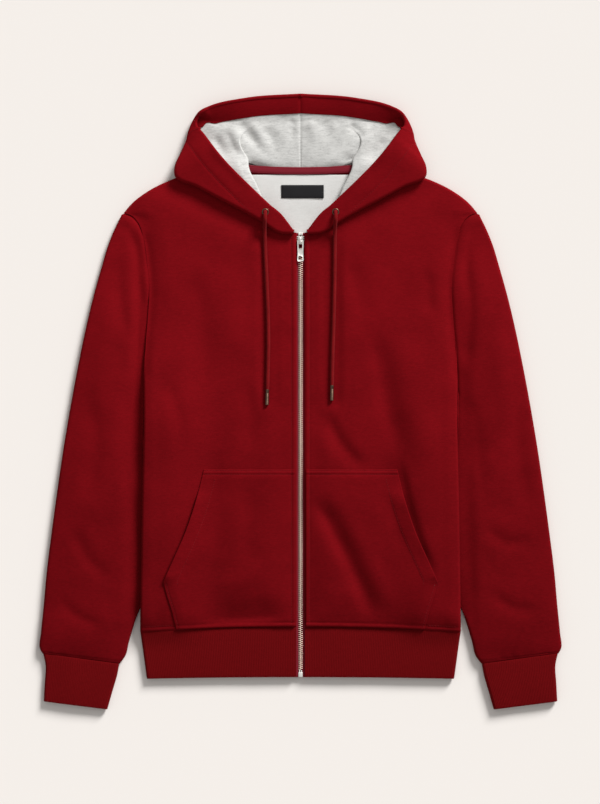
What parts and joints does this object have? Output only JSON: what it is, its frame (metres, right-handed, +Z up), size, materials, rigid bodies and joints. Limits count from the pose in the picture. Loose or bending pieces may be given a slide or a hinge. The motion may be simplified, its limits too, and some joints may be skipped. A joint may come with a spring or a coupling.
{
  "type": "zip up hoodie",
  "caption": "Zip-up hoodie in heather red fleece laid flat, front up, with an open grey-lined hood, drawcords, split front pocket and metal zip.",
  "frame": {"origin": "middle of the underside of the overall box, on the surface it lies on", "axes": "+Y along the garment from the hem to the hood, +X to the right as seen from above, +Z up out of the front"},
  "size_m": [0.7282, 0.8609, 0.027],
  "materials": {
    "fleece": "heather red brushed fleece, matt",
    "rib": "ribbed red knit, matt",
    "jersey": "light grey marl jersey, matt",
    "tape": "woven cotton tape, dark red",
    "label": "woven black label, bare",
    "cord": "round braided cord, dark red",
    "brass": "antique brass teeth, worn bright on top",
    "nickel": "satin nickel",
    "antique": "dark antique brass"
  },
  "bodies": {
    "garment": {"back": "fleece", "front_left": "fleece", "front_right": "fleece", "pocket_left": "fleece", "pocket_right": "fleece", "sleeve_left": "fleece", "sleeve_right": "fleece", "hood_left": "fleece", "hood_right": "fleece", "hood_facing_left": "fleece", "hood_facing_right": "fleece", "cuff_left": "rib", "cuff_right": "rib", "waistband": "rib", "hood_lining_left": "jersey", "hood_lining_right": "jersey", "back_facing": "jersey", "neck_tape": "tape", "neck_label": "label", "zip_tape_left": "tape", "zip_tape_right": "tape", "zip_chain": "brass", "zip_stop_left": "brass", "zip_stop_right": "brass", "zip_box": "nickel", "zip_slider": "nickel", "eyelet_left": "antique", "eyelet_right": "antique", "cord_tip_left": "antique", "cord_tip_right": "antique", "drawcord_left": "cord", "drawcord_right": "cord"},
    "pull_tab": {"zip_pull": "nickel"}
  },
  "joints": [
    {"name": "pull_tab_swing", "type": "hinge", "parent": "garment", "child": "pull_tab", "pos_m": [0, 0.2265, 0.00865], "axis": [-1, 0, 0], "range_deg": [0, 160]}
  ]
}
